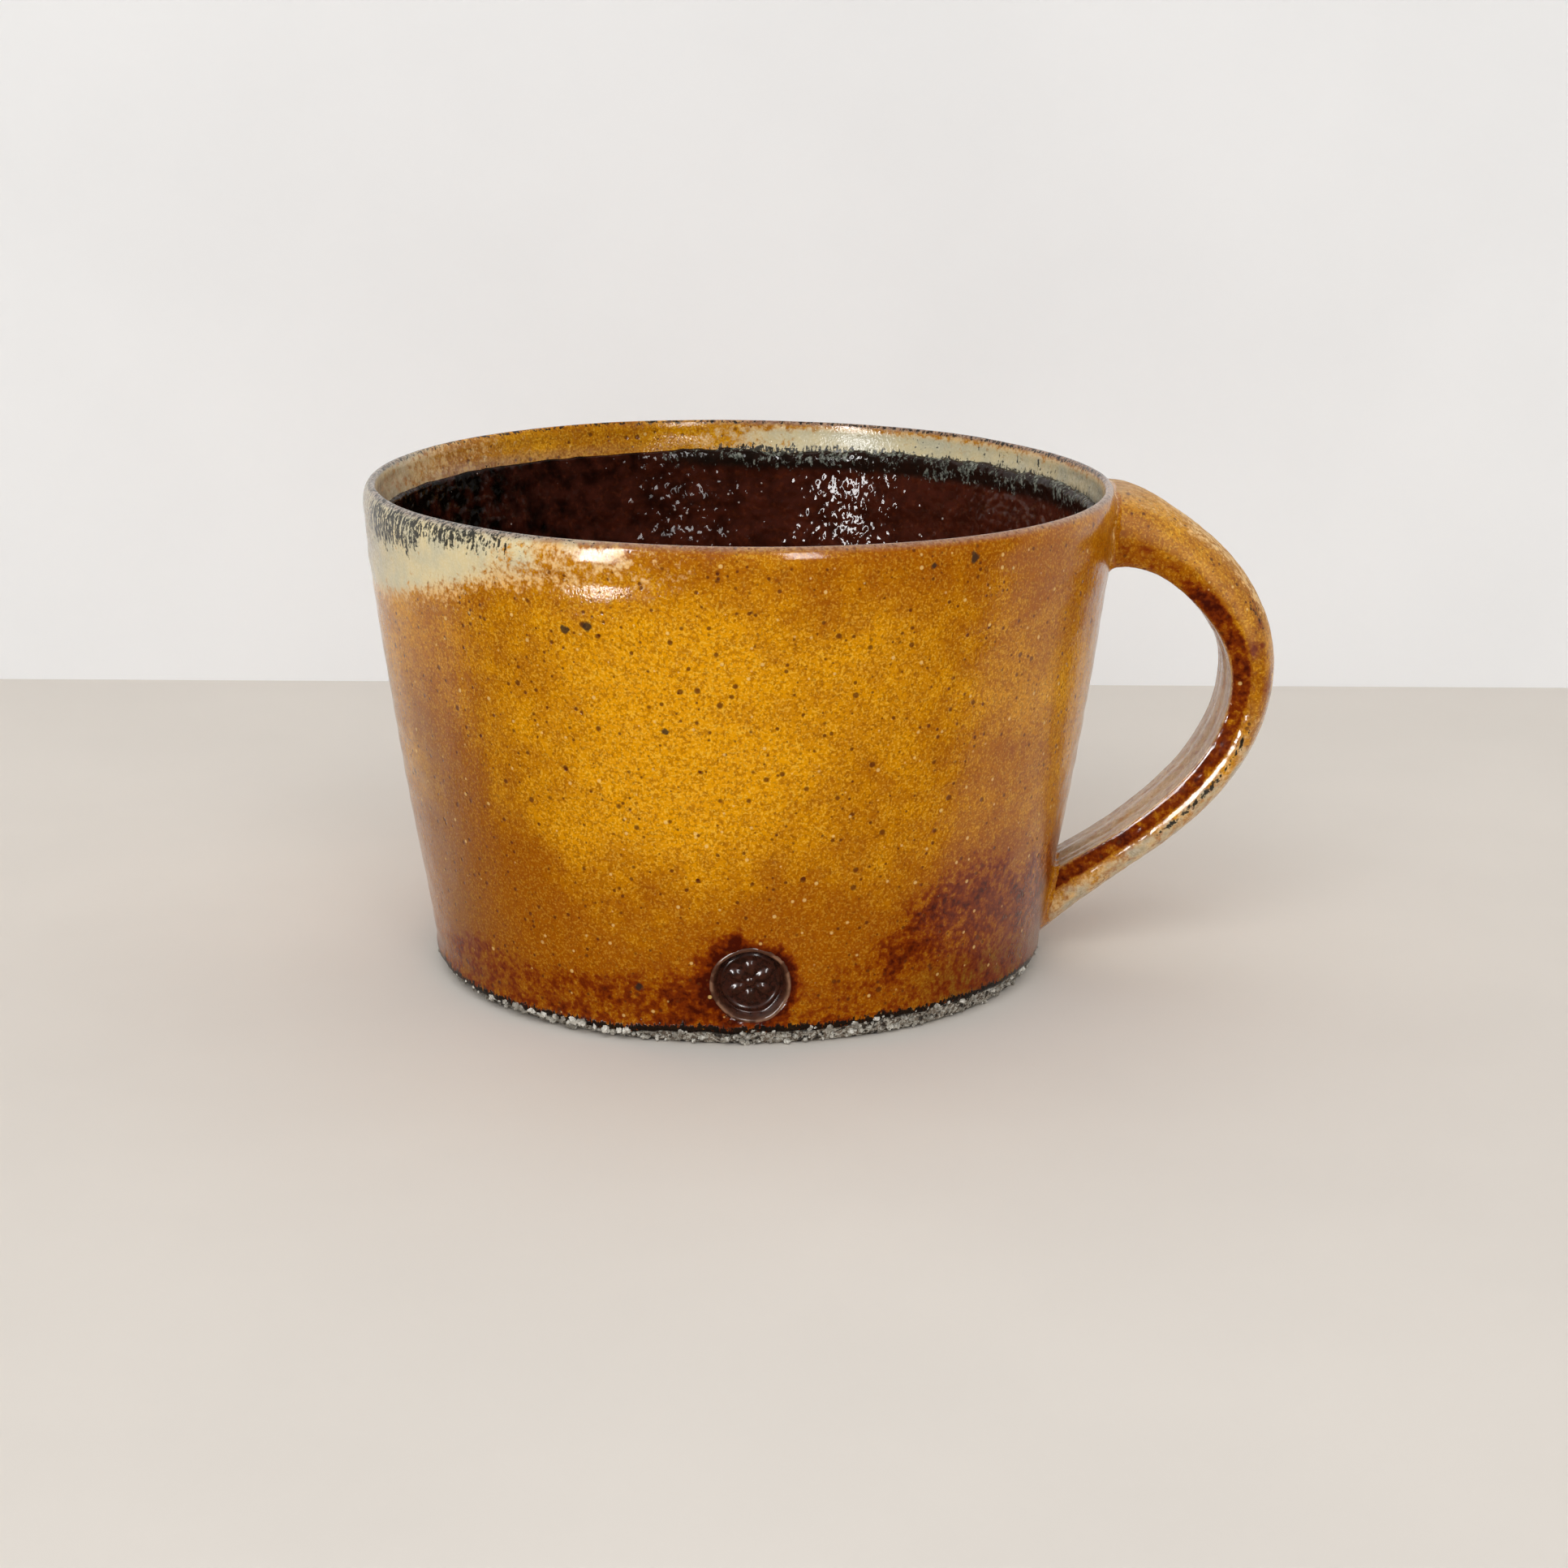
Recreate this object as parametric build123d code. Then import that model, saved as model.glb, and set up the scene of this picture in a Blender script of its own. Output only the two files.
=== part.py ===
from build123d import *
import math
import os

# A thrown stoneware mug with a pulled handle and fused glaze coats. Lengths are millimetres.
# The origin is the centre of the flat base, +Z is up and the handle points along +X.

# Vessel
HEIGHT = 73.0             # base to the top of the glazed lip
BASE_RADIUS = 43.5        # flat ring and disc that rest on the table
BEVEL_TOP = 2.6           # height where the foot bevel meets the wall
WALL_FOOT_RADIUS = 44.8   # glazed wall carried down to the table plane
FLARE = 0.157             # outward run of the wall per unit of height
FLOOR_HEIGHT = 6.0        # top of the clay floor
CORNER_RADIUS = 7.0       # throwing curve between wall and floor, inside
LIP_THICKNESS = 2.5       # clay at the lip
HEEL_THICKNESS = 4.6      # clay at floor level
LIP_ROUNDING = 0.46       # lip corner radius as a share of its thickness

# Glaze coats and slip
GLAZE = 0.35              # outer coat and handle coat
GLAZE_FOOT = 3.0          # lower edge of the outer coat
LINER = 0.5               # coat inside
LINER_TOP = 67.8          # where the liner ends below the lip
LEDGE = 1.0               # thickness of the liner's top edge
LEDGE_HEIGHT = 3.4        # drop from the ledge to the plain liner
LEDGE_ROUNDING = 0.45     # rounding of the ledge's inner corner
SLIP = 0.8                # luting slip between handle and wall

# Seal pressed into the wall
SEAL_AZIMUTH = -87.8      # degrees from +X
SEAL_HEIGHT = 9.4
SEAL_RADIUS = 5.6
SEAL_DEPTH = 1.25
SEAL_RING = (3.9, 4.5)    # inner and outer radius of the raised ring
SEAL_RELIEF = 0.5         # height of ring and petals
SEAL_MOUTH = 3.0          # how far the seal's cut runs out past the wall
SEAL_POOL = 0.3           # glaze pooled on the recess floor
SEAL_COAT = 0.15          # glaze over the ring and petals
PETALS = 6
PETAL_RADIUS = 0.75
PETAL_CIRCLE = 2.1

# Handle: where its centreline runs in the XZ plane, from the root under the lip to the tail at
# the foot, with the strap's thickness and width at each place: (x, z, thickness, width)
HANDLE_STATIONS = [
    (50.0, 66.7, 13.4, 19.0),
    (56.0, 66.5, 11.4, 18.8),
    (61.3, 64.6, 9.5, 18.4),
    (69.8, 58.1, 8.6, 18.0),
    (75.1, 48.8, 7.7, 17.6),
    (74.7, 38.0, 7.0, 16.4),
    (69.7, 28.5, 6.8, 14.4),
    (62.1, 20.9, 6.6, 12.8),
    (53.4, 14.6, 6.9, 12.0),
    (46.5, 10.0, 8.2, 12.2),
    (40.0, 5.8, 10.5, 12.8),
]
EDGE_ROUNDING = 2.4       # rounding of the strap's four long edges
HANDLE_TOP = 72.4         # the root is smoothed off level with the lip

# Clearances of the solids that cut others
OVERRUN = 1.0             # how far a cut runs past what it removes
AIR_OVERHANG = 4.0        # how far the cut above the lip reaches out over the handle's root
AIR_HEIGHT = 10.0         # how far the cut above the lip reaches up

FLARE_ANGLE = math.atan(FLARE)
STANDING = (Align.CENTER, Align.CENTER, Align.MIN)


def wall_radius(height, inset=0.0):
    """Radius of the outer wall at a height, set in by a coat measured square to the wall."""
    return WALL_FOOT_RADIUS + FLARE * height - inset / math.cos(FLARE_ANGLE)


def inner_radius(height, coat=0.0):
    """Radius of the clay's inner wall at a height, less a coat measured square to the wall."""
    share = (height - FLOOR_HEIGHT) / (HEIGHT - GLAZE - FLOOR_HEIGHT)
    thickness = HEEL_THICKNESS + (LIP_THICKNESS - HEEL_THICKNESS) * share
    return wall_radius(height, GLAZE) - thickness - coat / math.cos(FLARE_ANGLE)


def section(corners, rounded):
    """Face in the XZ half plane, with chosen (radius, height, fillet) corners rounded."""
    face = make_face(Polyline(*corners, close=True))
    for radius, height, fillet_radius in rounded:
        corner = face.vertices().sort_by_distance((radius, height, 0))[0]
        face = fillet(corner, fillet_radius)
    return Plane.XZ * face


def turned(corners, rounded=()):
    """Solid turned about Z from a section."""
    return revolve(section(corners, rounded), Axis.Z)


def upright_cylinder(radius, low, high):
    """Cylinder about Z between two heights."""
    return Pos(0, 0, low) * Cylinder(radius, high - low, align=STANDING)


def vessel(coat):
    """The thrown pot, floor and wall, grown on every glazed side by a coat."""
    top = HEIGHT - GLAZE + coat
    outer = wall_radius(top, GLAZE - coat)
    inner = inner_radius(top, coat)
    floor = FLOOR_HEIGHT + coat
    corner = inner_radius(floor, coat)
    lip = LIP_ROUNDING * (outer - inner)
    bevel = wall_radius(BEVEL_TOP, GLAZE - coat)
    outside = [(0, 0), (BASE_RADIUS, 0), (bevel, BEVEL_TOP), (outer, top)]
    inside = [(inner, top), (corner, floor), (0, floor)]
    rounded = [(outer, top, lip), (inner, top, lip), (corner, floor, CORNER_RADIUS - coat)]
    return turned(outside + inside, rounded)


def filled_vessel(grow):
    """The pot's outside as a solid plug, grown square to the wall, with the air above its lip."""
    top = HEIGHT - GLAZE + grow
    outer = wall_radius(top, GLAZE - grow)
    base = wall_radius(0, GLAZE - grow)
    lip = LIP_ROUNDING * (LIP_THICKNESS + 2 * grow)
    plug = turned([(0, 0), (base, 0), (outer, top), (0, top)], [(outer, top, lip)])
    return plug + upright_cylinder(outer + AIR_OVERHANG, HANDLE_TOP, HEIGHT + AIR_HEIGHT)


def seal_plane():
    """Plane on the glazed wall at the seal's centre, facing out."""
    angle = math.radians(SEAL_AZIMUTH)
    radius = wall_radius(SEAL_HEIGHT)
    centre = (radius * math.cos(angle), radius * math.sin(angle), SEAL_HEIGHT)
    along = math.cos(FLARE_ANGLE)
    facing = (math.cos(angle) * along, math.sin(angle) * along, -math.sin(FLARE_ANGLE))
    return Plane(origin=centre, x_dir=(-math.sin(angle), math.cos(angle), 0), z_dir=facing)


def disc(radius, low, high):
    """Disc on the seal's plane between two heights above it."""
    return seal_plane() * Pos(0, 0, low) * Cylinder(radius, high - low, align=STANDING)


def seal_motif(coat):
    """Raised ring, petals and centre boss on the recess floor, grown by a coat."""
    high = SEAL_RELIEF + coat
    base = seal_plane() * Pos(0, 0, -SEAL_DEPTH)
    ring = Cylinder(SEAL_RING[1] + coat, high, align=STANDING)
    ring -= Cylinder(SEAL_RING[0] - coat, high, align=STANDING)
    petal = Cylinder(PETAL_RADIUS + coat, high, align=STANDING)
    flower = [place * petal for place in PolarLocations(PETAL_CIRCLE, PETALS)]
    return [base * piece for piece in [ring, petal] + flower]


def seal_recess():
    """The clay pressed away by the seal."""
    return disc(SEAL_RADIUS, -SEAL_DEPTH, SEAL_MOUTH) - seal_motif(0.0)


def strap(inset):
    """The handle as a loft of rounded straps square to its centreline, set in by a coat."""
    line = Spline(*[(x, 0, z) for x, z, thickness, width in HANDLE_STATIONS])
    slices = []
    for x, z, thickness, width in HANDLE_STATIONS:
        heading = line.tangent_at(Vector(x, 0, z))
        plane = Plane(origin=(x, 0, z), x_dir=(0, 1, 0), z_dir=heading)
        wide = width - 2 * inset
        thick = thickness - 2 * inset
        slices.append(plane * RectangleRounded(wide, thick, EDGE_ROUNDING - inset))
    return loft(slices)


def mug_body():
    """Stoneware wall and floor, with the seal's recess."""
    return vessel(0.0) - seal_recess()


def outer_glaze(handle):
    """Glaze over the wall and the lip, open at the handle and at the seal."""
    reach = wall_radius(HEIGHT) + OVERRUN
    unglazed_foot = upright_cylinder(reach, -OVERRUN, GLAZE_FOOT)
    deep = FLOOR_HEIGHT - OVERRUN
    half_lip = LIP_THICKNESS / 2
    bottom_edge = (inner_radius(deep) + half_lip, deep)
    top_edge = (inner_radius(LINER_TOP) + half_lip, LINER_TOP)
    bore = turned([(0, deep), bottom_edge, top_edge, (0, LINER_TOP)])
    coat = vessel(GLAZE) - unglazed_foot - bore - vessel(0.0)
    return coat - handle - disc(SEAL_RADIUS, -SEAL_DEPTH, SEAL_MOUTH)


def liner_glaze():
    """Glaze inside, on floor and wall, with a thicker ledge at its top edge."""
    floor = FLOOR_HEIGHT + LINER
    foot = inner_radius(FLOOR_HEIGHT)
    heel = inner_radius(floor, LINER)
    ledge = LINER_TOP - LEDGE_HEIGHT
    brim = (inner_radius(LINER_TOP, LEDGE), LINER_TOP)
    outside = [(0, FLOOR_HEIGHT), (foot, FLOOR_HEIGHT), (inner_radius(LINER_TOP), LINER_TOP)]
    inside = [brim, (inner_radius(ledge, LINER), ledge), (heel, floor), (0, floor)]
    rounded = [(foot, FLOOR_HEIGHT, CORNER_RADIUS), (heel, floor, CORNER_RADIUS - LINER)]
    return turned(outside + inside, rounded + [(*brim, LEDGE_ROUNDING)])


def seal_glaze():
    """Glaze pooled on the recess floor and thin over the ring and petals."""
    pool = disc(SEAL_RADIUS, -SEAL_DEPTH, SEAL_POOL - SEAL_DEPTH) + seal_motif(SEAL_COAT)
    return pool - seal_motif(0.0)


def upper_and_lower(solids):
    """The solid nearest the lip and the solid nearest the foot."""
    ordered = solids.solids().sort_by(Axis.Z)
    return ordered[-1], ordered[0]


def build():
    """Every node of the mug, by name."""
    clay_plug = filled_vessel(0.0)
    slip_plug = filled_vessel(SLIP)
    glazed_strap = strap(0.0) - clay_plug
    clay_strap = strap(GLAZE) - clay_plug
    upper_slip, lower_slip = upper_and_lower(clay_strap & slip_plug)
    return {
        "mug_body": mug_body(),
        "pulled_handle": clay_strap - slip_plug,
        "upper_joint_slip": upper_slip,
        "lower_joint_slip": lower_slip,
        "outer_glaze": outer_glaze(glazed_strap),
        "handle_glaze": glazed_strap - clay_strap,
        "liner_glaze": liner_glaze(),
        "seal_glaze": seal_glaze(),
    }


os.makedirs("parts", exist_ok=True)
for name, solid in build().items():
    export_step(solid, f"parts/{name}.step")
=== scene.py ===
import functools
import math
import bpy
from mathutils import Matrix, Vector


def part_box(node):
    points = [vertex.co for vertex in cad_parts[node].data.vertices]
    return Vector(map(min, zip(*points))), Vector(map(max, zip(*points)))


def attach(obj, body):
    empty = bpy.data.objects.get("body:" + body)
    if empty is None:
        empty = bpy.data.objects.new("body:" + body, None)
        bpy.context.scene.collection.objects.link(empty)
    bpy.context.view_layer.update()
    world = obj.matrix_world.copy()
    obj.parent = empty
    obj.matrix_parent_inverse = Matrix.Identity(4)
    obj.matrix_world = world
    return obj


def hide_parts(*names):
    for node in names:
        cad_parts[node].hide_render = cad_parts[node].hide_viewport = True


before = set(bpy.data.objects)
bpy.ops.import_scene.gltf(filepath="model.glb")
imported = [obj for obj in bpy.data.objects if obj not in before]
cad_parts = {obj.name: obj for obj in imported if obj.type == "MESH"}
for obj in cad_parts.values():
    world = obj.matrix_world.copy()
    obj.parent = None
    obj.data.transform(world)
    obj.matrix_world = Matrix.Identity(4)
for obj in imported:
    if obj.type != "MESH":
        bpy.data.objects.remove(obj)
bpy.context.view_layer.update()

from types import SimpleNamespace

import bmesh
import bpy
import numpy as np
from mathutils import Matrix, Vector

MM = 0.001


def box_mm(node):
    """A CAD node's lowest and highest corners, in millimetres."""
    low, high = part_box(node)
    return Vector(low) / MM, Vector(high) / MM


# ---- sizes, in millimetres
GLAZE_HIGH = box_mm("outer_glaze")[1]
LINER_LOW, LINER_HIGH = box_mm("liner_glaze")
SEAL_LOW, SEAL_HIGH = box_mm("seal_glaze")
HEIGHT = GLAZE_HIGH.z
RIM_RADIUS = GLAZE_HIGH.y
FLARE = 0.157  # how far the wall leans out over each millimetre of height
LEAN = math.atan(FLARE)
LIP_WIDEST = 1.6  # the lip is widest this far below its top
WALL_FOOT = RIM_RADIUS - FLARE * (HEIGHT - LIP_WIDEST)
BASE_RADIUS = 43.5
BEVEL_TOP = 2.6
BEVEL_SOFTNESS = 0.35
COAT = 0.35
COAT_BACK = 0.75  # how deep the hidden back of the coat lies
SHOULDER = 4.6  # height of the lip's rounded outside
LIP_DROP = 1.9  # height of the lip's rounded inside
LIP_INSIDE = 0.75
LIP_CLAY = 2.5
HEEL_CLAY = 4.6
FLOOR = LINER_LOW.z
CORNER = 7.0
LINER_COAT = 0.5
LINER_TOP = LINER_HIGH.z
INNER_BAND_END = 66.2
RING_PITCH = 4.6
LINER_RING_PITCH = 6.2
COIL_PITCH = 5.5
WIRE_PITCH = 3.1
CREASE_AT = 67.4
SWELLING_DROP = 4.6  # from the crease under the lip down to the swelling
SEAL_TURN = math.atan2((SEAL_LOW.x + SEAL_HIGH.x) / 2, -SEAL_LOW.y)
SEAL_Z = (SEAL_LOW.z + SEAL_HIGH.z) / 2
SEAL_RADIUS = 5.6
SEAL_DEPTH = 1.25
PETALS = 6
PETAL_AT = 2.15

# The strap's centre line and section: x, z, thickness, width.
STRAP = np.array([
    (50.0, 66.7, 13.4, 19.0),
    (56.0, 66.5, 11.4, 18.8),
    (61.3, 64.6, 9.5, 18.4),
    (69.8, 58.1, 8.6, 18.0),
    (75.1, 48.8, 7.7, 17.6),
    (74.7, 38.0, 7.0, 16.4),
    (69.7, 28.5, 6.8, 14.4),
    (62.1, 20.9, 6.6, 12.8),
    (53.4, 14.6, 6.9, 12.0),
    (46.5, 10.0, 8.2, 12.2),
    (40.0, 5.8, 10.5, 12.8),
])
STRAP_ROOT_X = 53.6
STRAP_TAIL_X = 44.6

# Mesh steps, and the number of crumbs.
WALL_AROUND = 640
CLAY_AROUND = 600
LINER_AROUND = 560
SEAL_AROUND = 150
STRAP_AROUND = 148
STRAP_STEPS = 330
CRUMBS = 640


# ---- shape helpers
def lumps(turn, height, across, along, seed):
    """Smooth random values from -1 to 1; height runs from 0 to 1."""
    grid = np.random.default_rng(seed).uniform(-1, 1, (along + 2, across))
    x = (turn / math.tau % 1) * across
    y = np.clip(height, 0, 1) * along
    cell = np.floor(x).astype(int)
    row = np.floor(y).astype(int)
    x = rise(x - cell, 0, 1)
    y = rise(y - row, 0, 1)
    left = cell % across
    right = (cell + 1) % across
    low = grid[row, left] * (1 - x) + grid[row, right] * x
    high = grid[row + 1, left] * (1 - x) + grid[row + 1, right] * x
    return low * (1 - y) + high * y


def ripple(turn, across, seed):
    """Lumps that change only with the turn."""
    return lumps(turn, 0 * turn, across, 1, seed)


def rise(value, start, end):
    """0 before start, 1 after end, smooth between; start may be the larger."""
    t = np.clip((value - start) / (end - start), 0, 1)
    return t * t * (3 - 2 * t)


def between(value, start, full, ebb, end):
    """0 up to start, 1 from full to ebb, 0 again after end."""
    return rise(value, start, full) * rise(value, end, ebb)


def hill(value, centre, width):
    return np.exp(-(((value - centre) / width) ** 2))


def full_turn(count):
    """Angles once round, in one row."""
    return np.arange(count)[None, :] * math.tau / count


def column(start, end, count):
    return np.linspace(start, end, count)[:, None]


def off_centre(turn, degrees=0):
    """Degrees right of a bearing, from -180 to 180; the front is at 0."""
    return (np.degrees(turn) - degrees + 180) % 360 - 180


def unit(vectors):
    return vectors / np.linalg.norm(vectors, axis=1)[:, None]


def spline(knots, values, where):
    """A natural cubic spline through values at knots."""
    step = np.diff(knots)
    slope = np.diff(values, axis=0) / step[:, None]
    system = np.diag(2 * (step[:-1] + step[1:])) + np.diag(step[1:-1], 1) + np.diag(step[1:-1], -1)
    bend = np.pad(np.linalg.solve(system, 6 * np.diff(slope, axis=0)), ((1, 1), (0, 0)))
    i = np.clip(np.searchsorted(knots, where) - 1, 0, len(step) - 1)
    a = ((knots[i + 1] - where) / step[i])[:, None]
    b = ((where - knots[i]) / step[i])[:, None]
    curve = ((a**3 - a) * bend[i] + (b**3 - b) * bend[i + 1]) * step[i][:, None] ** 2 / 6
    return a * values[i] + b * values[i + 1] + curve


def polar(radius, turn, height):
    """Points at a radius, an angle right of the front and a height."""
    return np.stack(np.broadcast_arrays(radius * np.sin(turn), -radius * np.cos(turn), height), -1)


def add_object(name, data):
    piece = bpy.data.objects.new(name, data)
    bpy.context.scene.collection.objects.link(piece)
    return piece


def skin(name, grid, masks=None, capped=False):
    """A closed mesh through rows of points; the first and last rows join, or each closes on its middle."""
    rows, around = grid.shape[:2]
    index = np.arange(rows * around).reshape(rows, around)
    low, high = (index[:-1], index[1:]) if capped else (index, np.roll(index, -1, 0))
    quads = np.stack([low, np.roll(low, -1, 1), np.roll(high, -1, 1), high], -1).reshape(-1, 4)
    points = grid.reshape(-1, 3)
    corners = points[quads]
    normals = np.cross(corners[:, 2] - corners[:, 0], corners[:, 3] - corners[:, 1])
    inside_out = np.sum(normals * corners[:, 0]) < 0
    faces = (quads[:, ::-1] if inside_out else quads).tolist()
    hubs = 2 if capped else 0
    if capped:
        points = np.vstack([points, grid[0].mean(0), grid[-1].mean(0)])
        for ring, hub in ((index[0][::-1], len(points) - 2), (index[-1], len(points) - 1)):
            fan = np.stack([ring, np.roll(ring, -1), np.full(around, hub)], -1)
            faces += (fan[:, ::-1] if inside_out else fan).tolist()
    mesh = bpy.data.meshes.new(name)
    mesh.from_pydata((points * MM).tolist(), [], faces)
    mesh.shade_smooth()
    for key, value in (masks or {}).items():
        flat = np.broadcast_to(value, (rows, around)).astype(np.float32).reshape(-1)
        layer = mesh.attributes.new(key, "FLOAT", "POINT")
        layer.data.foreach_set("value", np.concatenate([flat, np.zeros(hubs, np.float32)]))
    mesh.update()
    return add_object(name, mesh)


def settle(piece, material, slot, *nodes):
    """Gives a piece its material and body, and hides the CAD nodes it stands for; the slot is not used."""
    piece.data.materials.append(material)
    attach(piece, "root")
    if nodes:
        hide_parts(*nodes)


# ---- the wall's surface
def lip_height(turn):
    """The lip is a little uneven: it dips at the front right."""
    dip = -0.35 * hill(off_centre(turn, 45), 0, 40) + 0.12 * np.sin(2 * turn + 0.7)
    return HEIGHT - 0.25 + dip + 0.08 * ripple(turn, 23, 5)


def line_radius(height):
    return WALL_FOOT + FLARE * height


def clay_radius(height):
    """The clay's outside, with the bevelled foot."""
    wall = line_radius(height) - COAT
    top = line_radius(BEVEL_TOP) - COAT
    bevel = BASE_RADIUS + (top - BASE_RADIUS) * height / BEVEL_TOP
    return -BEVEL_SOFTNESS * np.log(np.exp(-wall / BEVEL_SOFTNESS) + np.exp(-bevel / BEVEL_SOFTNESS))


def wall_relief(turn, height):
    """Throwing rings, the crease and swelling under the lip, slow waves and small lumps."""
    part = height / HEIGHT
    rings = 0.05 * np.sin(height * math.tau / RING_PITCH + turn) * (0.6 + 0.4 * np.sin(height * 0.21 + 1))
    bearing = off_centre(turn)
    crease_at = CREASE_AT - 1.6 * hill(bearing, -42, 22) + 0.3 * np.sin(turn * 2 + 1)
    strong = hill(bearing, -22, 15) + 0.35 * hill(bearing, 12, 18) + 0.25 * hill(np.abs(bearing), 150, 40)
    depth = 0.1 + 0.34 * strong
    crease = -depth * hill(height, crease_at + 0.5, 1.7)
    crease = crease + 0.45 * depth * hill(height, crease_at - SWELLING_DROP, 2.8)
    oval = 0.3 * np.cos(2 * turn + 0.9) * part**2
    slow = 0.12 * lumps(turn, part, 9, 5, 1)
    small = 0.045 * lumps(turn, part, 70, 16, 2) + 0.02 * lumps(turn, part, 190, 44, 3)
    belly = 0.34 * np.sin(np.clip((height - 2) / 64, 0, 1) * math.pi) - 0.35 * rise(height, 60, 71)
    return rings + crease + oval + slow + small + belly


def inner_radius(height):
    """The glazed inside of the wall."""
    part = np.clip((height - FLOOR) / (HEIGHT - FLOOR), 0, 1)
    clay = HEEL_CLAY + (LIP_CLAY - HEEL_CLAY) * part
    return line_radius(height) - COAT - clay - COAT


def outer_radius(turn, height):
    """The glazed outside from the foot over the lip's shoulder."""
    top = lip_height(turn)
    start = top - SHOULDER
    wall = line_radius(height) + wall_relief(turn, np.minimum(height, start))
    crown = inner_radius(top) + LIP_INSIDE
    climb = np.clip((height - start) / SHOULDER, 0, 1)
    return crown + (wall - crown) * np.sqrt(1 - np.minimum(climb**2, 1))


def on_outside(turn, height, depth=0):
    """Points on the glazed outside, or a depth under it."""
    return polar(outer_radius(turn, height) - depth, turn, height)


def seal_offsets(turn, height):
    """Distances from the seal's middle, along the wall: across and up."""
    across = (((turn - SEAL_TURN + math.pi) % math.tau) - math.pi) * line_radius(SEAL_Z)
    return across, (height - SEAL_Z) / math.cos(LEAN)


def seal_well(turn, height, depth, brim, bottom):
    """The seal's round recess, from its brim's radius to its bottom's."""
    return depth * rise(np.hypot(*seal_offsets(turn, height)), brim, bottom)


def glaze_edge(turn):
    """Height of the glaze's ragged lower edge."""
    bearing = off_centre(turn)
    level = 2.0 + 0.8 * hill(bearing, 42, 30) - 0.8 * hill(bearing, -38, 40)
    level = level + 0.5 * hill(np.abs(bearing), 150, 50) + 0.25 * ripple(turn, 11, 31)
    ragged = 0.24 * ripple(turn, 70, 32) + 0.18 * ripple(turn, 210, 33)
    return np.maximum(level + ragged, 0.7)


# ---- the wall's colour masks, from 0 to 1
def wall_places(turn, height, inside):
    """What the masks are worked out from; bearings are in degrees."""
    bearing = off_centre(turn)
    top = lip_height(turn)
    return SimpleNamespace(
        turn=turn, height=height, inside=inside, out=1 - inside, bearing=bearing, top=top,
        compass=np.degrees(turn) % 360,
        crest=rise(height, top - 0.85, top - 0.15),
        near_front=rise(np.abs(bearing), 128, 100),
        back=rise(np.abs(bearing), 95, 140),
        drift=lumps(turn, height / HEIGHT, 26, 9, 41),
        fine=lumps(turn, height / HEIGHT, 90, 26, 42))


def wall_shade(at):
    """From yellow in the front's middle to tan at the left and near the foot: partly the glaze's own tone,
    partly painted light and shade.
    """
    height, bearing = at.height, at.bearing
    # Darker towards the sides is partly painted shade, where the wall turns away from the front light; the
    # lift at the far left is a painted reflection of the bright room.
    left = 0.34 * rise(-bearing, 24, 50) * (1 - 0.75 * rise(height, 44, 62)) - 0.26 * rise(-bearing, 50, 74)
    right = 0.08 * rise(bearing, 18, 48) - 0.2 * rise(bearing, 48, 74)
    shade = 0.56 + np.maximum(left, right) * (1 - 0.5 * at.back)
    near_lip = 0.3 * rise(height, 59, 68) * rise(-bearing, 34, 10) * at.out
    shade = shade + 0.7 * rise(height, 36, 10) + near_lip + 0.14 * at.drift
    # Painted light: the middle of the front, which faces the front light, is painted brighter.
    return shade - 0.62 * hill(bearing, -8, 23) * hill(height, 42, 22) * at.out


def wall_scorch(at):
    """Burnt glaze round the seal, with a tail, and in a low band that climbs to the right."""
    height, bearing = at.height, at.bearing
    across, up = seal_offsets(at.turn, height)
    from_seal = np.maximum(np.hypot(across, up) - SEAL_RADIUS, 0)
    halo = 0.95 * hill(from_seal, 0, 1.5 + 1.5 * rise(-across, 0, 6))
    left_of_seal = 0.72 * hill(across, -8, 10) * hill(height, 5.5, 6.0)
    below = 0.42 * hill(across, -2, 19) * rise(height, 15, 4)
    tail = 1.15 * hill(across, -2.3 + 0.4 * at.fine, 1.0) * between(height, 12, 13.5, 16.6, 19)
    band_at = 8.5 + 10.5 * rise(bearing, 14, 44) - 3.0 * rise(bearing, 44, 60) + 1.2 * at.drift
    band = 0.62 * hill(height, band_at, 6.5) * rise(bearing, 4, 36)
    band = np.maximum(band, 0.46 * rise(height, 24, 14) * rise(bearing, 22, 44)) * rise(bearing, 125, 75)
    left_band = 0.44 * hill(height, 7.0 + 1.5 * at.drift, 4.2) * between(-bearing, 2, 18, 56, 84)
    near_foot = 0.42 * rise(height, 11, 2.5) * (1 - at.back)
    scorch = np.maximum.reduce([halo, left_of_seal, below, tail, band, left_band, near_foot]) * at.out
    return np.clip(scorch + 0.06 * at.fine * (scorch > 0.05), 0, 1)


def wall_olive(at):
    """A green tinge low at the right, and weaker at the left edge."""
    low_right = 0.75 * rise(at.height, 14, 7) * between(at.bearing, 26, 46, 90, 130)
    return np.maximum(low_right, 0.4 * hill(at.bearing, -60, 14) * rise(at.height, 60, 30)) * at.out


def wall_ash(at):
    """Cream ash under the lip at the left and on the inner band's back."""
    height, bearing = at.height, at.bearing
    edge = 66.9 - 6.6 * rise(-bearing, 32, 76) + 2.0 * rise(bearing, -42, -24)
    edge = edge + 7 * rise(-bearing, 88, 140) + 0.35 * at.drift + 0.3 * at.fine
    outside = 0.78 * rise(height, edge - 4.2, edge + 1.3) + 0.22 * rise(height, edge - 9.0, edge + 0.5)
    outside = outside * between(-bearing, 20, 52, 92, 150)
    inside = between(at.compass, 55, 92, 164, 200) + 0.74 * hill(bearing, -92, 36)
    rim = (0.46 + 0.26 * at.fine) * hill(bearing, -26, 17) * rise(height, 63.5, 68.5) * at.out
    return np.clip(outside * at.out + inside * at.inside + rim + 0.04 * at.drift * at.inside, 0, 1)


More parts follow.
